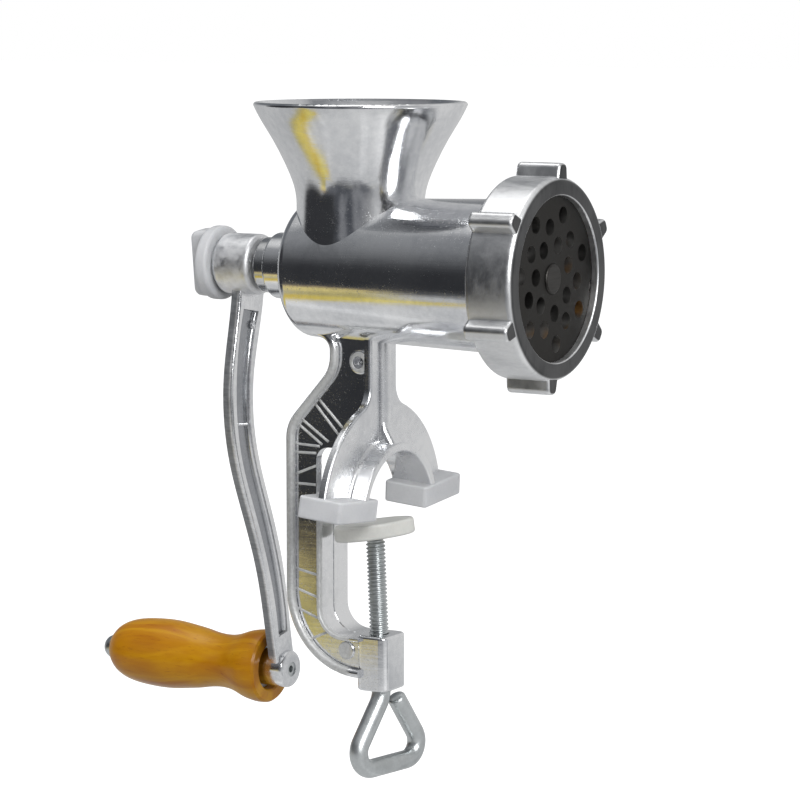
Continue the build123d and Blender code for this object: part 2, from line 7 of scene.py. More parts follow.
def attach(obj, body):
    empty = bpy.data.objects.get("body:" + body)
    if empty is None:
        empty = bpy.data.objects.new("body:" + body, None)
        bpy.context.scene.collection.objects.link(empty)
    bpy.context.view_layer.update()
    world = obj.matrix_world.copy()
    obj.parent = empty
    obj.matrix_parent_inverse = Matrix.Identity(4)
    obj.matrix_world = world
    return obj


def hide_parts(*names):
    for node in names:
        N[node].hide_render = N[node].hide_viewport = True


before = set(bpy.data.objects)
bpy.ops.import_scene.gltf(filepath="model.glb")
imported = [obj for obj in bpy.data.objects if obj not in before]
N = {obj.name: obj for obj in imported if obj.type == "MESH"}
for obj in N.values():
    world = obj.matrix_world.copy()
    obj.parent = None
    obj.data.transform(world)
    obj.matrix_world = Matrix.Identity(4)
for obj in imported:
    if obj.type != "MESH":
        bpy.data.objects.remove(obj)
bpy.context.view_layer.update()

MM = 0.001
XO, ZO = -7.65, 76.4          # barrel frame (mm) to the row frame


def row(x, y, z):
    """A point given in the barrel frame, in millimetres, as metres in the row frame."""
    return Vector(((x + XO) * MM, y * MM, (z + ZO) * MM))


# ------------------------------------------------------------------ node helpers
class Mat:
    """A small wrapper that builds one node material."""

    def __init__(self, name):
        self.mat = bpy.data.materials.new(name)
        self.mat.use_nodes = True
        self.nt = self.mat.node_tree
        self.nt.nodes.clear()
        self.out = self.nt.nodes.new("ShaderNodeOutputMaterial")
        self.bsdf = self.nt.nodes.new("ShaderNodeBsdfPrincipled")
        self.link(self.bsdf.outputs[0], self.out.inputs[0])
        self.coord = self.nt.nodes.new("ShaderNodeTexCoord").outputs["Object"]

    def link(self, a, b):
        self.nt.links.new(a, b)

    def set(self, **kw):
        for k, v in kw.items():
            self.bsdf.inputs[k.replace("_", " ")].default_value = v

    def mapping(self, scale=(1, 1, 1), loc=(0, 0, 0), rot=(0, 0, 0), src=None):
        n = self.nt.nodes.new("ShaderNodeMapping")
        n.inputs["Scale"].default_value = scale
        n.inputs["Location"].default_value = loc
        n.inputs["Rotation"].default_value = rot
        self.link(src or self.coord, n.inputs["Vector"])
        return n.outputs[0]

    def noise(self, scale, detail=3.0, rough=0.55, src=None, distortion=0.0):
        n = self.nt.nodes.new("ShaderNodeTexNoise")
        n.inputs["Scale"].default_value = scale
        n.inputs["Detail"].default_value = detail
        n.inputs["Roughness"].default_value = rough
        n.inputs["Distortion"].default_value = distortion
        self.link(src or self.coord, n.inputs["Vector"])
        return n.outputs[0]

    def voronoi(self, scale, feature="F1", src=None):
        n = self.nt.nodes.new("ShaderNodeTexVoronoi")
        n.feature = feature
        n.inputs["Scale"].default_value = scale
        self.link(src or self.coord, n.inputs["Vector"])
        return n.outputs["Distance"]

    def ramp(self, fac, stops, smooth=True):
        n = self.nt.nodes.new("ShaderNodeValToRGB")
        n.color_ramp.interpolation = "EASE" if smooth else "LINEAR"
        e = n.color_ramp.elements
        while len(e) < len(stops):
            e.new(0.5)
        for el, (p, c) in zip(e, stops):
            el.position = p
            el.color = c if len(c) == 4 else (*c, 1.0)
        self.link(fac, n.inputs[0])
        return n.outputs[0]

    def grey(self, fac, lo, hi, p0=0.3, p1=0.7):
        return self.ramp(fac, [(p0, (lo, lo, lo)), (p1, (hi, hi, hi))])

    def math(self, op, a, b=None, clamp=False):
        n = self.nt.nodes.new("ShaderNodeMath")
        n.operation = op
        n.use_clamp = clamp
        for i, v in enumerate((a, b)):
            if v is None:
                continue
            if isinstance(v, (int, float)):
                n.inputs[i].default_value = v
            else:
                self.link(v, n.inputs[i])
        return n.outputs[0]

    def mix(self, fac, a, b, mode="MIX"):
        n = self.nt.nodes.new("ShaderNodeMix")
        n.data_type = "RGBA"
        n.blend_type = mode
        for sock, v in ((n.inputs[0], fac), (n.inputs[6], a), (n.inputs[7], b)):
            if isinstance(v, (int, float)):
                sock.default_value = v
            elif isinstance(v, tuple):
                sock.default_value = v if len(v) == 4 else (*v, 1.0)
            else:
                self.link(v, sock)
        return n.outputs[2]

    def separate(self, src=None):
        n = self.nt.nodes.new("ShaderNodeSeparateXYZ")
        self.link(src or self.coord, n.inputs[0])
        return n.outputs

    def span(self, v, lo, hi):
        """0 at lo, 1 at hi, straight between and held outside."""
        n = self.nt.nodes.new("ShaderNodeMapRange")
        n.inputs["From Min"].default_value = lo
        n.inputs["From Max"].default_value = hi
        self.link(v, n.inputs["Value"])
        return n.outputs[0]

    def bump(self, height, strength, distance, normal=None):
        n = self.nt.nodes.new("ShaderNodeBump")
        n.inputs["Strength"].default_value = strength
        n.inputs["Distance"].default_value = distance
        self.link(height, n.inputs["Height"])
        if normal is not None:
            self.link(normal, n.inputs["Normal"])
        return n.outputs[0]

    def color(self, sock):
        self.link(sock, self.bsdf.inputs["Base Color"])

    def rough(self, sock):
        self.link(sock, self.bsdf.inputs["Roughness"])

    def normal(self, sock):
        self.link(sock, self.bsdf.inputs["Normal"])


def cast_aluminium(name, lo=(0.70, 0.71, 0.73), hi=(0.88, 0.885, 0.893), r0=0.09, r1=0.17, wave=0.07, pits=0.10, frame_skin=False):
    """Buffed cast aluminium: soft buffing waves, sparse casting pits and short scratches.

    With frame_skin, the clamp frame's rims keep a pale as-cast skin, its web is speckled and the yoke is satin."""
    m = Mat(name)
    m.set(Metallic=1.0)
    broad = m.noise(38.0, 3.0, 0.5)
    fine = m.noise(420.0, 4.0, 0.6)
    streak = m.noise(1.0, 5.0, 0.65, src=m.mapping((60.0, 900.0, 900.0)))
    tone = m.mix(0.35, broad, fine)
    base = m.ramp(tone, [(0.32, lo), (0.62, hi)])
    # short crossed scratches, each a thin dull line
    s1 = m.noise(1.0, 2.0, 0.4, src=m.mapping((90.0, 2600.0, 2600.0), rot=(0.2, 0.35, 0.5)))
    s2 = m.noise(1.0, 4.0, 0.7, src=m.mapping((260.0, 1500.0, 700.0), rot=(0.5, -0.7, 0.9)), distortion=0.8)
    cut_a = m.ramp(s1, [(0.735, (0, 0, 0)), (0.78, (1, 1, 1))])
    cut_b = m.ramp(s2, [(0.70, (0, 0, 0)), (0.80, (1, 1, 1))])
    cuts = m.math("MAXIMUM", cut_a, cut_b)
    col = m.mix(m.math("MULTIPLY", cuts, 0.4), base, (0.93, 0.93, 0.94))
    rg = m.mix(0.45, broad, streak)
    rgh = m.math("ADD", m.grey(rg, r0, r1, 0.34, 0.66), m.math("MULTIPLY", cuts, 0.22), clamp=True)
    if frame_skin:
        sep = m.separate()
        geo = m.nt.nodes.new("ShaderNodeNewGeometry")
        nx = m.separate(geo.outputs["Normal"])[0]
        below = m.span(sep[2], 0.0540, 0.0505)
        rim = m.math("MULTIPLY", m.math("MULTIPLY", below, m.span(sep[1], -0.0068, -0.0073)), m.span(sep[0], -0.0065, -0.0085))
        rim = m.math("MULTIPLY", rim, m.span(nx, -0.58, -0.28))
        yoke = m.math("MULTIPLY", m.math("MULTIPLY", below, m.span(sep[0], -0.0022, -0.0008)), m.span(sep[2], -0.006, -0.002))
        speck = m.ramp(m.noise(1.0, 3.0, 0.6, src=m.mapping((1700.0, 1700.0, 1700.0))), [(0.58, (0, 0, 0)), (0.70, (1, 1, 1))])
        blotch = m.grey(m.noise(160.0, 3.0, 0.6), 0.25, 1.0, 0.40, 0.62)
        barrel = m.math("MULTIPLY", m.span(sep[2], 0.064, 0.072), m.span(sep[2], 0.104, 0.096))
        where = m.math("MAXIMUM", m.math("SUBTRACT", below, yoke, clamp=True), m.math("MULTIPLY", barrel, 0.8))
        speck = m.math("MULTIPLY", m.math("MULTIPLY", speck, blotch), where)
        grain = m.ramp(m.mix(0.5, m.noise(900.0, 4.0, 0.65), broad), [(0.34, (0.52, 0.525, 0.52)), (0.64, (0.72, 0.725, 0.72))])
        col = m.mix(rim, col, grain)
        rgh = m.math("ADD", rgh, m.math("MULTIPLY", speck, 0.34), clamp=True)
        rgh = m.math("ADD", rgh, m.math("MULTIPLY", yoke, 0.15), clamp=True)
        rgh = m.mix(rim, rgh, m.grey(fine, 0.46, 0.64))
        m.link(m.math("SUBTRACT", 1.0, m.math("MULTIPLY", rim, 0.45)), m.bsdf.inputs["Metallic"])
    m.color(col)
    m.rough(rgh)
    pit = m.ramp(m.noise(1500.0, 2.0, 0.5), [(0.25, (0, 0, 0)), (0.33, (1, 1, 1))])
    n1 = m.bump(broad, wave, 0.0016)
    n2 = m.bump(streak, 0.04, 0.0004, n1)
    m.normal(m.bump(pit, pits, 0.00010, n2))
    return m.mat


def raised_cast():
    """As-cast skin left on raised lines and lug faces: pale, rough and grainy."""
    m = Mat("raised_cast_skin")
    m.set(Metallic=0.55)
    grain = m.noise(900.0, 4.0, 0.65)
    broad = m.noise(120.0, 3.0)
    m.color(m.ramp(m.mix(0.5, grain, broad), [(0.32, (0.52, 0.525, 0.52)), (0.66, (0.74, 0.745, 0.74))]))
    m.rough(m.grey(grain, 0.48, 0.68))
    m.normal(m.bump(grain, 0.18, 0.0003))
    return m.mat


def turned_ring():
    """Satin turned ring with handling scuffs; the end face is darker by painted shade in its colour."""
    m = Mat("ring_satin")
    m.set(Metallic=1.0)
    broad = m.noise(55.0, 3.0)
    turn = m.noise(1.0, 4.0, 0.7, src=m.mapping((2600.0, 26.0, 26.0)))
    scuff = m.noise(1.0, 5.0, 0.75, src=m.mapping((260.0, 900.0, 150.0), rot=(0.3, 0.2, 0.5)))
    geo = m.nt.nodes.new("ShaderNodeNewGeometry")
    face = m.grey(m.separate(geo.outputs["Normal"])[0], 0.0, 1.0, 0.72, 0.93)
    side = m.ramp(m.mix(0.4, broad, scuff), [(0.30, (0.62, 0.625, 0.635)), (0.64, (0.84, 0.845, 0.85))])
    # painted shade: the end face is coloured far darker than the sides (0.05 to 0.13 against 0.62 to 0.84), shade
    # painted into the metal; the scuff pattern in it is wear
    end = m.ramp(m.mix(0.5, broad, scuff), [(0.30, (0.050, 0.051, 0.053)), (0.66, (0.128, 0.129, 0.131))])
    m.color(m.mix(face, side, end))
    m.rough(m.mix(face, m.grey(m.mix(0.5, scuff, broad), 0.28, 0.46, 0.35, 0.65), m.grey(scuff, 0.36, 0.52)))
    n1 = m.bump(turn, 0.14, 0.0002)
    m.normal(m.bump(scuff, 0.12, 0.0003, n1))
    return m.mat


def crank_aluminium():
    """Crank casting: buffed front and back, flanks left rough with fine filing lines."""
    m = Mat("crank_aluminium")
    m.set(Metallic=1.0)
    broad = m.noise(42.0, 3.0, 0.5)
    fine = m.noise(520.0, 4.0, 0.65)
    filing = m.noise(1.0, 4.0, 0.7, src=m.mapping((70.0, 70.0, 1500.0)))
    geo = m.nt.nodes.new("ShaderNodeNewGeometry")
    nx = m.math("ABSOLUTE", m.separate(geo.outputs["Normal"])[0])
    sep = m.separate()

    def off_axis(y, z, lo, hi):
        """0 near the line through (y, z) along X, 1 away from it."""
        dy = m.math("SUBTRACT", sep[1], y * MM)
        dz = m.math("SUBTRACT", sep[2], (z + ZO) * MM)
        d = m.math("SQRT", m.math("ADD", m.math("POWER", dy, 2.0), m.math("POWER", dz, 2.0)))
        n = m.nt.nodes.new("ShaderNodeMapRange")
        n.inputs["From Min"].default_value = lo * MM
        n.inputs["From Max"].default_value = hi * MM
        m.link(d, n.inputs["Value"])
        return n.outputs[0]

    arm = m.math("MULTIPLY", off_axis(0.0, 0.0, 10.2, 11.2), off_axis(21.5, -138.3, 7.0, 8.5))
    flank = m.math("MULTIPLY", m.grey(nx, 1.0, 0.0, 0.10, 0.40), arm)
    buffed = m.ramp(m.mix(0.4, broad, fine), [(0.32, (0.66, 0.67, 0.69)), (0.64, (0.88, 0.885, 0.893))])
    cast = m.ramp(m.mix(0.5, filing, fine), [(0.34, (0.58, 0.585, 0.59)), (0.62, (0.93, 0.935, 0.94))])
    # painted shade: on the arm, everything behind X = -44.15 mm, the channel floor included, is darkened to 0.4 of
    # its colour, shade painted into the recess
    fl = m.nt.nodes.new("ShaderNodeMapRange")
    fl.inputs["From Min"].default_value = (-44.15 + XO) * MM
    fl.inputs["From Max"].default_value = (-43.55 + XO) * MM
    m.link(sep[0], fl.inputs["Value"])
    channel_floor_painted_shade = m.mix(fl.outputs[0], (0.40, 0.41, 0.43), (1.0, 1.0, 1.0))
    m.color(m.mix(1.0, m.mix(flank, buffed, cast), m.mix(arm, (1.0, 1.0, 1.0), channel_floor_painted_shade), "MULTIPLY"))
    # the hub keeps a dull, mottled skin
    hub = m.math("SUBTRACT", 1.0, off_axis(0.0, 0.0, 10.2, 11.2))
    rgh = m.mix(flank, m.grey(m.mix(0.5, broad, fine), 0.12, 0.26, 0.34, 0.66), m.grey(fine, 0.50, 0.70))
    m.rough(m.mix(hub, rgh, m.grey(m.mix(0.6, broad, m.noise(300.0, 4.0, 0.7)), 0.30, 0.56, 0.38, 0.60)))
    dull = m.math("MULTIPLY", hub, m.grey(m.noise(260.0, 4.0, 0.7), 0.02, 0.26, 0.38, 0.60))
    m.link(m.math("SUBTRACT", 1.0, m.math("ADD", dull, m.math("MULTIPLY", flank, 0.25))), m.bsdf.inputs["Metallic"])
    n1 = m.bump(broad, 0.10, 0.0016)
    n2 = m.bump(m.mix(flank, fine, filing), 0.16, 0.0003, n1)
    m.normal(n2)
    return m.mat


def plate_steel():
    """Dark ground steel with faint concentric turning."""
    m = Mat("plate_dark_steel")
    m.set(Metallic=1.0)
    sep = m.separate()
    y2 = m.math("POWER", sep[1], 2.0)
    dz = m.math("SUBTRACT", sep[2], ZO * MM)
    r = m.math("SQRT", m.math("ADD", y2, m.math("POWER", dz, 2.0)))
    rings = m.math("SINE", m.math("MULTIPLY", r, 14000.0))
    blot = m.noise(90.0, 4.0, 0.6)
    geo = m.nt.nodes.new("ShaderNodeNewGeometry")
    nx = m.math("ABSOLUTE", m.separate(geo.outputs["Normal"])[0])
    wall = m.grey(nx, 1.0, 0.0, 0.35, 0.75)
    face = m.ramp(blot, [(0.3, (0.017, 0.016, 0.014)), (0.7, (0.031, 0.029, 0.026))])
    hole = m.ramp(m.noise(60.0, 2.0), [(0.42, (0.09, 0.088, 0.084)), (0.58, (0.30, 0.295, 0.285)), (0.70, (0.36, 0.20, 0.07))])
    m.color(m.mix(wall, face, hole))
    m.rough(m.mix(wall, m.grey(blot, 0.34, 0.5), m.grey(blot, 0.42, 0.62)))
    n1 = m.bump(rings, 0.06, 0.0001)
    m.normal(m.bump(m.noise(700.0, 3.0), 0.06, 0.0003, n1))
    return m.mat


def zinc(name="zinc_plate", lo=(0.50, 0.522, 0.525), hi=(0.61, 0.635, 0.64), r0=0.30, r1=0.42):
    """Bright zinc plate, slightly cool, with drawn-wire streaks."""
    m = Mat(name)
    m.set(Metallic=1.0)
    broad = m.noise(120.0, 3.0)
    fine = m.noise(900.0, 3.0, 0.6)
    m.color(m.ramp(m.mix(0.45, broad, fine), [(0.3, lo), (0.66, hi)]))
    m.rough(m.grey(broad, r0, r1))
    m.normal(m.bump(fine, 0.05, 0.0003))
    return m.mat


def tool_steel():
    m = Mat("tool_steel")
    m.set(Metallic=1.0)
    grind = m.noise(1.0, 4.0, 0.7, src=m.mapping((900.0, 60.0, 900.0)))
    m.color(m.ramp(grind, [(0.3, (0.035, 0.033, 0.031)), (0.7, (0.075, 0.072, 0.068))]))
    m.rough(m.grey(grind, 0.36, 0.52))
    m.normal(m.bump(grind, 0.06, 0.0002))
    return m.mat


def milky_plastic(name, lo, hi, rough=(0.36, 0.52)):
    """Moulded polyethylene: milky, a little translucent, faint flow marks."""
    m = Mat(name)
    m.set(Subsurface_Weight=0.35, Subsurface_Scale=0.004, IOR=1.5)
    m.bsdf.inputs["Subsurface Radius"].default_value = (1.0, 0.95, 0.9)
    cloud = m.noise(85.0, 3.0, 0.55)
    fine = m.noise(1300.0, 3.0, 0.6)
    m.color(m.ramp(m.mix(0.3, cloud, fine), [(0.3, lo), (0.68, hi)]))
    m.rough(m.grey(cloud, rough[0], rough[1]))
    m.normal(m.bump(fine, 0.05, 0.0003))
    return m.mat


def varnished_wood():
    """Turned hardwood under a thick amber varnish: long grain, growth bands, darker flecks."""
    m = Mat("varnished_wood")
    m.set(Coat_Weight=0.22, Coat_Roughness=0.18, IOR=1.45, Specular_IOR_Level=0.25)
    warp = m.noise(26.0, 3.0, 0.5)
    long_grain = m.noise(1.0, 6.0, 0.62, src=m.mapping((26.0, 210.0, 210.0)), distortion=0.6)
    bands = m.noise(1.0, 4.0, 0.55, src=m.mapping((9.0, 70.0, 60.0), rot=(0.4, 0.12, 0.1)), distortion=1.6)
    fleck = m.noise(1.0, 3.0, 0.6, src=m.mapping((160.0, 1500.0, 1500.0)))
    base = m.ramp(bands, [(0.30, (0.40, 0.140, 0.001)), (0.46, (0.49, 0.205, 0.001)), (0.60, (0.57, 0.275, 0.003)), (0.76, (0.45, 0.170, 0.001))])
    grain = m.ramp(long_grain, [(0.34, (0.86, 0.74, 0.55)), (0.60, (1.0, 1.0, 1.0))])
    c1 = m.mix(0.60, base, grain, "MULTIPLY")
    dark = m.ramp(fleck, [(0.28, (0.62, 0.42, 0.24)), (0.40, (1.0, 1.0, 1.0))])
    c2 = m.mix(0.55, c1, dark, "MULTIPLY")
    tone = m.ramp(warp, [(0.30, (0.88, 0.80, 0.70)), (0.66, (1.06, 1.04, 1.0))])
    m.color(m.mix(0.6, c2, tone, "MULTIPLY"))
    m.rough(m.grey(long_grain, 0.30, 0.46))
    m.normal(m.bump(long_grain, 0.06, 0.0004))
    return m.mat


AL_BODY = cast_aluminium("cast_aluminium_buffed", frame_skin=True)
AL_CRANK = crank_aluminium()
AL_AUGER = cast_aluminium("auger_aluminium", lo=(0.50, 0.505, 0.51), hi=(0.70, 0.705, 0.71), r0=0.28, r1=0.45, wave=0.10, pits=0.7)
RING = turned_ring()
PLATE = plate_steel()
ZINC = zinc()
BUSH = zinc("bush_steel", lo=(0.60, 0.605, 0.61), hi=(0.78, 0.785, 0.79), r0=0.10, r1=0.2)
STEEL = tool_steel()
WHITE = milky_plastic("milky_plastic", (0.555, 0.562, 0.580), (0.635, 0.642, 0.655))
DISC = milky_plastic("disc_plastic", (0.62, 0.62, 0.585), (0.70, 0.70, 0.665))
NYLON = milky_plastic("nylon", (0.70, 0.68, 0.62), (0.78, 0.76, 0.70))
WOOD = varnished_wood()
AL_SKIN = raised_cast()

FINISH = {
    "body_casting": AL_BODY, "shaft_bush": BUSH, "thrust_washer": NYLON, "plate_key_pin": AL_SKIN,
    "foot_pad_left": WHITE, "foot_pad_right": WHITE, "auger": AL_AUGER, "front_stud": STEEL, "knife": STEEL,
    "cutting_plate": PLATE, "ring_nut": RING, "crank_arm": AL_CRANK, "handle_grip": WOOD, "handle_spindle": ZINC,
    "handle_washer": ZINC, "thumb_washer": ZINC, "thumb_knob": WHITE, "thumb_stud": ZINC, "clamp_screw": ZINC,
    "clamp_disc": DISC,
}
for name, mat in FINISH.items():
    o = N[name]
    if not o.material_slots:
        o.data.materials.append(mat)
    for s in o.material_slots:
        s.material = mat


# ------------------------------------------------------------------ mesh helpers
def add_mesh(name, verts, faces, mat, body, smooth=True):
    me = bpy.data.meshes.new(name)
    me.from_pydata([tuple(v) for v in verts], [], faces)
    me.validate()
    bm = bmesh.new()
    bm.from_mesh(me)
    bmesh.ops.remove_doubles(bm, verts=bm.verts, dist=1e-7)
    bmesh.ops.recalc_face_normals(bm, faces=bm.faces)
    bm.to_mesh(me)
    bm.free()
    if smooth:
        me.shade_smooth()
    me.materials.append(mat)
    o = bpy.data.objects.new(name, me)
    bpy.context.scene.collection.objects.link(o)
    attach(o, body)
    return o


def skin(rings, closed_ends=True):
    """Quads between equal rings of points, with a fan at each end."""
    n = len(rings[0])
    verts = [p for r in rings for p in r]
    faces = []
    for i in range(len(rings) - 1):
        for j in range(n):
            a, b = i * n + j, i * n + (j + 1) % n
            faces.append((a, b, b + n, a + n))
    if closed_ends:
        for k, base in ((0, 0), (1, (len(rings) - 1) * n)):
            c = sum((Vector(p) for p in rings[0 if k == 0 else -1]), Vector()) / n
            verts.append(c)
            ci = len(verts) - 1
            for j in range(n):
                a, b = base + j, base + (j + 1) % n
                faces.append((ci, b, a) if k == 0 else (ci, a, b))
    return verts, faces


# ------------------------------------------------------------------ clamp screw: rolled thread and bent loop
LEAN = radians(2.65)
SC = (7.18, -126.5)
PITCH, R_MAJ, R_MIN, ROD = 1.27, 3.16, 2.56, 3.03
LOOP_TURN = radians(-12.0)
W_TOP = 39.6


def screw_point(q, s, w):
    """Screw frame (mm, w along the screw) to the row frame."""
    x, y = q, s
    return row(SC[0] + x * cos(LEAN) - w * sin(LEAN), y, SC[1] + x * sin(LEAN) + w * cos(LEAN))


def thread_r(w, ang):
    t = (w / PITCH - ang / (2 * pi)) % 1.0
    tri = abs(2 * t - 1.0)                      # 1 at the root, 0 at the crest
    k = min(max((tri - 0.14) / 0.70, 0.0), 1.0)
    return R_MAJ - (R_MAJ - R_MIN) * k


def build_screw():
    SEG = 40
    rings = []
    for w, r in ((42.3, 0.6), (42.3, 1.9), (42.1, 2.18), (39.9, 2.18), (39.65, 2.3)):
        rings.append([screw_point(r * cos(2 * pi * j / SEG), r * sin(2 * pi * j / SEG), w) for j in range(SEG)])
    w = W_TOP
    step = PITCH / 10
    while w > -6.2:
        fade = min(1.0, (W_TOP - w) / 0.8 + 0.15)
        ring = []
        for j in range(SEG):
            a = 2 * pi * j / SEG
            r = R_MIN + (thread_r(w, a) - R_MIN) * fade
            ring.append(screw_point(r * cos(a), r * sin(a), w))
        rings.append(ring)
        w -= step
    # plain rod, then the bent loop, swept along straight runs and round bends
    path = [(0.0, -6.8), (0.0, -11.4, 9.0), (-17.6, -34.0, 5.6), (20.0, -34.0, 5.6), (6.9, -13.2)]
    pts = [Vector((path[0][0], path[0][1]))]
    for i in range(1, len(path)):
        p = Vector(path[i][:2])
        if len(path[i]) == 2:
            n = 10
            last = pts[-1]
            pts += [last.lerp(p, (k + 1) / n) for k in range(n)]
            continue
        a, b = Vector(path[i - 1][:2]), Vector(path[i + 1][:2])
        u, v = (a - p).normalized(), (b - p).normalized()
        ang = acos(max(-1.0, min(1.0, u.dot(v))))
        r = path[i][2]
        t = r / tan(ang / 2)
        c = p + (u + v).normalized() * (r / sin(ang / 2))
        s0, e0 = p + u * t - c, p + v * t - c
        a0 = atan2(s0.y, s0.x)
        da = atan2(s0.x * e0.y - s0.y * e0.x, s0.dot(e0))
        last = pts[-1]
        first = c + s0
        m = max(2, int((first - last).length / 1.5))
        pts += [last.lerp(first, (k + 1) / m) for k in range(m)]
        n = 18
        pts += [c + Vector((r * cos(a0 + da * k / n), r * sin(a0 + da * k / n))) for k in range(1, n + 1)]
    for i, p in enumerate(pts):
        d = (pts[min(i + 1, len(pts) - 1)] - pts[max(i - 1, 0)]).normalized()
        side = Vector((-d.y, d.x))             # in the loop's plane
        ring = []
        rr = ROD
        for j in range(SEG):
            a = 2 * pi * j / SEG
            # local axes: q across the screw along the loop's plane normal, s along the loop's plane
            off_n = rr * cos(a)
            off_s = rr * sin(a)
            s = p.x + side.x * off_s
            w = p.y + side.y * off_s
            q2 = off_n * cos(LOOP_TURN) - s * sin(LOOP_TURN)
            s2 = off_n * sin(LOOP_TURN) + s * cos(LOOP_TURN)
            ring.append(screw_point(q2, s2, w))
        rings.append(ring)
    # rounded sheared end
    d = (pts[-1] - pts[-2]).normalized()
    side = Vector((-d.y, d.x))
    for k in (0.5, 0.8, 0.95):
        f = sqrt(1 - k * k) if k < 0.95 else 0.55
        c = pts[-1] + d * (0.9 * k)
        rr = ROD * (1 - 0.35 * k * k)
        ring = []
        for j in range(SEG):
            a = 2 * pi * j / SEG
            s = c.x + side.x * rr * sin(a)
            w = c.y + side.y * rr * sin(a)
            q2 = rr * cos(a) * cos(LOOP_TURN) - s * sin(LOOP_TURN)
            s2 = rr * cos(a) * sin(LOOP_TURN) + s * cos(LOOP_TURN)
            ring.append(screw_point(q2, s2, w))
        rings.append(ring)
    v, f = skin(rings)
    return add_mesh("clamp_screw_threaded", v, f, ZINC, "screw")


screw = build_screw()
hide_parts("clamp_screw")


# ------------------------------------------------------------------ cast details on the frame
def ridge(name, path, up, width, height, mat, body, seg=8):
    """A half-round ridge along a path of row-frame points, standing up from the surface."""
    rings = []
    up = Vector(up).normalized()
    for i, p in enumerate(path):
        d = (path[min(i + 1, len(path) - 1)] - path[max(i - 1, 0)]).normalized()
        side = d.cross(up).normalized()
        taper = 0.35 if i in (0, len(path) - 1) else 1.0
        ring = []
        for j in range(seg + 1):
            a = pi * j / seg
            ring.append(p + side * (width / 2 * cos(a)) + up * (height * taper * sin(a)))
        ring.append(p - side * (width / 2) - up * (0.4 * MM))
        ring.append(p + side * (width / 2) - up * (0.4 * MM))
        rings.append(ring)
    v, f = skin(rings)
    return add_mesh(name, v, f, mat, body)


# stiffening ribs across the web's front face, from the outer flange towards the arch and the inner flange
WEB_FRONT, WEB_BACK = -6.6, -3.4
RIBS = [((-11.9, -41.6), (-2.4, -50.8)), ((-13.3, -43.2), (-4.4, -52.7)), ((-18.6, -48.4), (-8.2, -55.3)), ((-19.6, -50.3), (-10.6, -56.4)),
        ((-20.8, -56.7), (-11.6, -57.0)), ((-20.8, -59.5), (-12.9, -59.3)), ((-20.8, -66.6), (-12.9, -63.4)), ((-20.8, -69.6), (-12.9, -69.6)),
        ((-20.8, -97.5), (-11.7, -99.2)), ((-20.8, -104.0), (-11.7, -106.6)), ((-20.4, -110.4), (-11.5, -113.5)),
        ((-17.3, -121.2), (-9.2, -117.6))]
for i, (a, b) in enumerate(RIBS):
    pts = [row(a[0] + (b[0] - a[0]) * k / 6, WEB_FRONT, a[1] + (b[1] - a[1]) * k / 6) for k in range(7)]
    ridge("web_rib_%02d" % i, pts, (0, -1, 0), 0.85 * MM, 0.42 * MM, AL_SKIN, "frame")
# short strengthening ribs on the channel's floor at the back
for i, (a, b) in enumerate((((-18.9, -49.0), (-9.6, -54.6)), ((-20.8, -64.0), (-13.0, -64.0)), ((-20.8, -95.0), (-11.8, -95.0)))):
    pts = [row(a[0] + (b[0] - a[0]) * k / 6, WEB_BACK, a[1] + (b[1] - a[1]) * k / 6) for k in range(7)]
    ridge("web_back_rib_%02d" % i, pts, (0, 1, 0), 1.6 * MM, 1.1 * MM, AL_BODY, "frame")


def washer_face(name, centre, axis, r0, r1, mat, body):
    """A thin, slightly crowned annulus lying on a lug face, with an off-centre hole."""
    axis = Vector(axis).normalized()
    u = axis.orthogonal().normalized()
    v = axis.cross(u)
    SEG = 40
    c0, (o, ra), rb = centre, r0, r1
    prof = [(0.0, -0.20), (0.0, 0.05), (0.25, 0.10), (0.7, 0.10), (0.93, 0.04), (1.0, -0.20)]
    rings = []
    for t, h in prof:
        ring = []
        for j in range(SEG):
            ca, sa = cos(2 * pi * j / SEG), sin(2 * pi * j / SEG)
            pa = o + u * (ra * ca) + v * (ra * sa)
            pb = c0 + u * (rb * ca) + v * (rb * sa)
            ring.append(pa.lerp(pb, t) + axis * (h * MM))
        rings.append(ring)
    vv, ff = skin(rings, closed_ends=False)
    n = len(prof)
    ff = list(ff) + [[(n - 1) * SEG + j, (n - 1) * SEG + (j + 1) % SEG, (j + 1) % SEG, j] for j in range(SEG)]
    return add_mesh(name, vv, ff, mat, body)


washer_face("lug_cast_face", row(4.2, -7.9, -28.8), (0, -1, 0), (row(3.75, -7.9, -28.9), 1.95 * MM), 3.45 * MM, AL_SKIN, "frame")

# parting line down the front of the inner flange and the back of the outer flange
front = [row(-10.45, 0, z) for z in range(-79, -109, -3)]
front += [row(-1.95 - 8.5 * cos(radians(a)), 0, -109.4 - 8.5 * sin(radians(a))) for a in range(0, 91, 10)]
ridge("parting_line_front", front, (1, 0, 0.4), 0.55 * MM, 0.22 * MM, AL_BODY, "frame")
back_pts = [row(-23.42 - 0.001 * k, 0, -58 - 4 * k) for k in range(12)]
ridge("parting_line_back", back_pts, (-1, 0, 0), 0.6 * MM, 0.2 * MM, AL_BODY, "frame")


def button(name, centre, axis, r, h, mat, body, dish=0.0):
    """A small round cast mark with a rounded edge, standing on a face."""
    axis = Vector(axis).normalized()
    u = axis.orthogonal().normalized()
    v = axis.cross(u)
    SEG = 28
    prof = [(r, -0.3 * MM), (r, h * 0.45), (r * 0.93, h * 0.85), (r * 0.80, h), (r * 0.62, h - dish * 0.4), (r * 0.45, h - dish), (r * 0.1, h - dish)]
    rings = [[centre + u * (pr * cos(2 * pi * j / SEG)) + v * (pr * sin(2 * pi * j / SEG)) + axis * ph for j in range(SEG)] for pr, ph in prof]
    vv, ff = skin(rings)
    return add_mesh(name, vv, ff, mat, body)


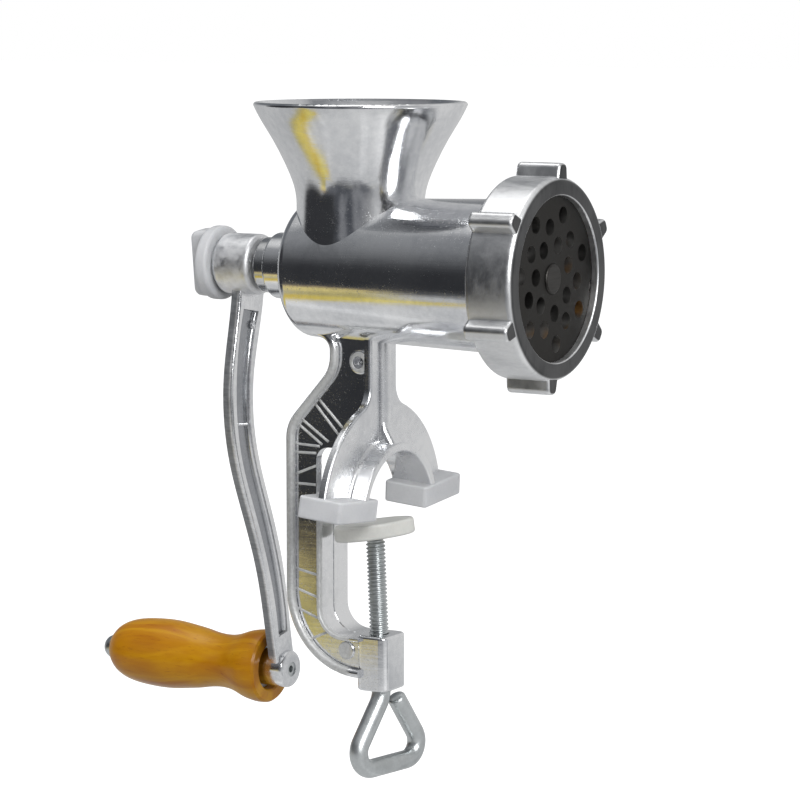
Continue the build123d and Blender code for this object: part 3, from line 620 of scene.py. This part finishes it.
# ejector mark and cross ribs in the crank arm's channel
button("crank_ejector_mark", row(-44.1, 3.2, -20.3), (1, 0, 0), 1.5 * MM, 1.2 * MM, AL_CRANK, "drive", dish=0.25 * MM)
for k, (yy, zz, ln) in enumerate(((-3.3, -52.5, 3.9), (19.0, -126.5, 3.2))):
    pts = [row(-44.1, yy - ln + 2 * ln * t / 6, zz - 0.1 * (t - 3)) for t in range(7)]
    ridge("crank_cross_rib_%d" % k, pts, (1, 0, 0), 1.0 * MM, 1.0 * MM, AL_CRANK, "drive")


# ------------------------------------------------------------------ floor, light, camera
bm = bmesh.new()
bmesh.ops.create_grid(bm, x_segments=2, y_segments=2, size=12.0)
me = bpy.data.meshes.new("floor")
bm.to_mesh(me)
bm.free()
floor = bpy.data.objects.new("floor", me)
bpy.context.scene.collection.objects.link(floor)
floor.location = (0, 0, -0.1180)
fm = Mat("floor_white")
fm.color(fm.ramp(fm.noise(3.0, 2.0), [(0.3, (0.44, 0.44, 0.44)), (0.7, (0.46, 0.46, 0.46))]))
fm.set(Roughness=0.9, Emission_Strength=0.88)
fm.bsdf.inputs["Emission Color"].default_value = (1, 1, 1, 1)
fm.bsdf.inputs["Specular IOR Level"].default_value = 0.1
me.materials.append(fm.mat)
floor.visible_glossy = False
floor.visible_diffuse = False

# a pale card under the part, seen only in its reflections, with a warm rim on the handle's side
bm = bmesh.new()
bmesh.ops.create_circle(bm, cap_ends=True, segments=96, radius=0.46)
cme = bpy.data.meshes.new("reflector_card")
bm.to_mesh(cme)
bm.free()
card = bpy.data.objects.new("reflector_card", cme)
bpy.context.scene.collection.objects.link(card)
card.location = (0, 0, -0.0882)
card.visible_camera = False
card.visible_diffuse = False
card.visible_shadow = False
cm = Mat("reflector_card")
ct = cm.nt


def cdist(x, y, lo, hi):
    """0 inside radius lo of a point on the card, 1 outside radius hi."""
    n = ct.nodes.new("ShaderNodeVectorMath")
    n.operation = "DISTANCE"
    n.inputs[1].default_value = (x, y, 0)
    cm.link(cm.coord, n.inputs[0])
    return csmooth(n.outputs["Value"], lo, hi)


def csmooth(v, lo, hi):
    r = ct.nodes.new("ShaderNodeMapRange")
    r.interpolation_type = "SMOOTHSTEP"
    r.inputs["From Min"].default_value = lo
    r.inputs["From Max"].default_value = hi
    cm.link(v, r.inputs["Value"])
    return r.outputs[0]


sep_c = cm.separate()
turn = cm.math("ARCTAN2", sep_c[0], cm.math("MULTIPLY", sep_c[1], -1.0))     # 0 towards -Y, positive towards +X
side_l = csmooth(turn, radians(-92), radians(-80))
side_r = cm.math("SUBTRACT", 1.0, csmooth(turn, radians(-32), radians(-22)))
sector = cm.math("MULTIPLY", side_l, side_r)
spoke = ct.nodes.new("ShaderNodeCombineXYZ")
cm.link(turn, spoke.inputs[0])
ray = cm.noise(2.6, 3.0, 0.6, src=spoke.outputs[0])
paper = cm.ramp(cm.mix(0.25, ray, cm.noise(14.0, 3.0)), [(0.32, (0.42, 0.43, 0.445)), (0.48, (0.60, 0.605, 0.61)), (0.64, (0.84, 0.845, 0.85))])
tone = cm.mix(cdist(0.155, -0.020, 0.0, 0.130), (0.98, 0.98, 0.98), paper)
tone = cm.mix(cdist(0.185, 0.070, 0.0, 0.065), (0.26, 0.265, 0.275), tone)
warm = cm.ramp(cm.noise(9.0, 2.0), [(0.35, (0.62, 0.43, 0.055)), (0.62, (0.72, 0.62, 0.18))])
tone = cm.mix(cdist(0, 0, 0.196, 0.226), tone, cm.mix(sector, tone, warm))
tone = cm.mix(cdist(0, 0, 0.245, 0.280), tone, (0.46, 0.40, 0.165))
tone = cm.mix(cdist(0, 0, 0.300, 0.345), tone, (0.74, 0.62, 0.25))
tone = cm.mix(cdist(0, 0, 0.380, 0.430), tone, (0.40, 0.29, 0.185))
web_l = csmooth(turn, radians(-50), radians(-40))
web_r = cm.math("SUBTRACT", 1.0, csmooth(turn, radians(-35.1), radians(-34.3)))
rim = cm.math("MULTIPLY", sector, cm.math("SUBTRACT", 1.0, cm.mix(web_r, cdist(0, 0, 0.236, 0.266), cdist(0, 0, 0.266, 0.298))))
far = cm.math("MULTIPLY", cm.math("MULTIPLY", web_l, web_r), cm.math("SUBTRACT", 1.0, cdist(0, 0, 0.405, 0.458)))
reach = cm.math("ADD", cm.math("SQRT", cm.math("ADD", cm.math("POWER", sep_c[0], 2.0), cm.math("POWER", sep_c[1], 2.0))), cm.math("MULTIPLY", cm.math("SUBTRACT", ray, 0.5), 0.22))
edge = cm.math("SUBTRACT", 1.0, csmooth(reach, 0.150, 0.285))
core = cm.math("SUBTRACT", 1.0, cdist(0, 0, 0.236, 0.262))
base_in = cm.mix(sector, edge, core)
solid = cm.math("MAXIMUM", cm.math("MAXIMUM", rim, far), base_in)
em = ct.nodes.new("ShaderNodeEmission")
cm.link(tone, em.inputs["Color"])
tr = ct.nodes.new("ShaderNodeBsdfTransparent")
mx = ct.nodes.new("ShaderNodeMixShader")
cm.link(solid, mx.inputs[0])
cm.link(tr.outputs[0], mx.inputs[1])
cm.link(em.outputs[0], mx.inputs[2])
cm.link(mx.outputs[0], cm.out.inputs[0])
cme.materials.append(cm.mat)

world = bpy.data.worlds.new("studio")
bpy.context.scene.world = world
world.use_nodes = True
wt = world.node_tree
wt.nodes.clear()
wo = wt.nodes.new("ShaderNodeOutputWorld")
bg = wt.nodes.new("ShaderNodeBackground")
wt.links.new(bg.outputs[0], wo.inputs[0])
bg.inputs["Strength"].default_value = 1.0
tc = wt.nodes.new("ShaderNodeTexCoord").outputs["Generated"]


def wsmooth(v, lo, hi):
    n = wt.nodes.new("ShaderNodeMapRange")
    n.interpolation_type = "SMOOTHSTEP"
    n.inputs["From Min"].default_value = lo
    n.inputs["From Max"].default_value = hi
    wt.links.new(v, n.inputs["Value"])
    return n.outputs[0]


def wmix(fac, a, b):
    n = wt.nodes.new("ShaderNodeMix")
    n.data_type = "RGBA"
    wt.links.new(fac, n.inputs[0])
    for sock, v in ((n.inputs[6], a), (n.inputs[7], b)):
        if isinstance(v, tuple):
            sock.default_value = (*v, 1.0)
        else:
            wt.links.new(v, sock)
    return n.outputs[2]


def heading(az, el):
    """Direction from azimuth (0 = -Y, positive towards +X) and elevation."""
    a, e = radians(az), radians(el)
    return (sin(a) * cos(e), -cos(a) * cos(e), sin(e))


def lobe(direction, outer, inner):
    """1 inside a cone of the inner half angle, easing to 0 at the outer one."""
    n = wt.nodes.new("ShaderNodeVectorMath")
    n.operation = "DOT_PRODUCT"
    n.inputs[1].default_value = direction
    wt.links.new(tc, n.inputs[0])
    return wsmooth(n.outputs["Value"], cos(radians(outer)), cos(radians(inner)))


sx = wt.nodes.new("ShaderNodeSeparateXYZ")
wt.links.new(tc, sx.inputs[0])
dz = sx.outputs[2]
# a pale sweep below, a dim room above, a pale wall behind, and the unlit room on the camera's side
room = wmix(wsmooth(dz, -0.10, 0.40), (0.52, 0.525, 0.53), (0.15, 0.16, 0.175))
room = wmix(lobe(heading(150, 5), 75, 30), room, (0.66, 0.66, 0.66))
unlit = wmix(wsmooth(dz, 0.0, 0.82), (0.034, 0.0355, 0.039), (0.27, 0.278, 0.292))
unlit = wmix(wsmooth(dz, -0.52, -0.26), (0.12, 0.125, 0.14), unlit)
room = wmix(lobe((0.227, -0.865, 0.446), 75.0, 70.0), room, unlit)
room = wmix(wsmooth(dz, 0.73, 0.89), room, (0.80, 0.80, 0.80))
room = wmix(lobe(heading(-62, -2), 32, 20), room, (0.034, 0.035, 0.039))
# uneven greys low on the camera's side and a pale panel to its right
wcell = wt.nodes.new("ShaderNodeTexNoise")
wcell.inputs["Scale"].default_value = 3.2
wcell.inputs["Detail"].default_value = 2.0
wmap = wt.nodes.new("ShaderNodeMapping")
wmap.inputs["Scale"].default_value = (1.0, 1.0, 0.12)
wt.links.new(tc, wmap.inputs["Vector"])
wt.links.new(wmap.outputs[0], wcell.inputs["Vector"])
uneven = wmix(wsmooth(wcell.outputs[0], 0.36, 0.64), (0.065, 0.070, 0.082), (0.24, 0.245, 0.26))
room = wmix(lobe(heading(14, -14), 36, 20), room, uneven)
room = wmix(lobe(heading(84, -4), 52, 20), room, (0.50, 0.505, 0.515))
lp = wt.nodes.new("ShaderNodeLightPath")
wt.links.new(wmix(lp.outputs["Is Camera Ray"], room, (1.0, 1.0, 1.0)), bg.inputs["Color"])


def area(name, loc, target, size, size_y, power, color=(1, 1, 1)):
    d = bpy.data.lights.new(name, "AREA")
    d.shape = "RECTANGLE"
    d.size = size
    d.size_y = size_y
    d.energy = power
    d.color = color
    o = bpy.data.objects.new(name, d)
    bpy.context.scene.collection.objects.link(o)
    o.location = loc
    o.rotation_euler = (Vector(target) - Vector(loc)).to_track_quat("-Z", "Y").to_euler()
    o.visible_camera = False
    return o


area("softbox_key", (1.05, -0.80, 0.70), (0, 0, 0.02), 0.7, 0.7, 15.0)
fill = area("softbox_fill", (-0.75, -0.95, 0.30), (0, 0, 0.0), 0.8, 0.8, 5.0)
fill.visible_glossy = False
area("softbox_top", (-0.35, -0.05, 1.3), (0, 0, 0.02), 0.8, 0.5, 2.6)


cam_d = bpy.data.cameras.new("camera")
cam = bpy.data.objects.new("camera", cam_d)
bpy.context.scene.collection.objects.link(cam)
cam_d.sensor_fit = "HORIZONTAL"
cam_d.sensor_width = 36.0
cam_d.lens = 36.0 * 3119.139 / 800.0
cam_d.clip_start = 0.05
cam_d.clip_end = 60.0
az, el = radians(31.059), radians(7.167)
back = Vector((sin(az) * cos(el), -cos(az) * cos(el), sin(el)))
right = Vector((cos(az), sin(az), 0))
upv = back.cross(right)
m = Matrix.Identity(4)
for i in range(3):
    m[i][0], m[i][1], m[i][2] = right[i], upv[i], back[i]
m.translation = Vector((0.51471, -0.84312, 0.15914))
cam.matrix_world = m
bpy.context.scene.camera = cam

vs = bpy.context.scene.view_settings
vs.view_transform = "Standard"
vs.look = "None"
vs.exposure = 0.0
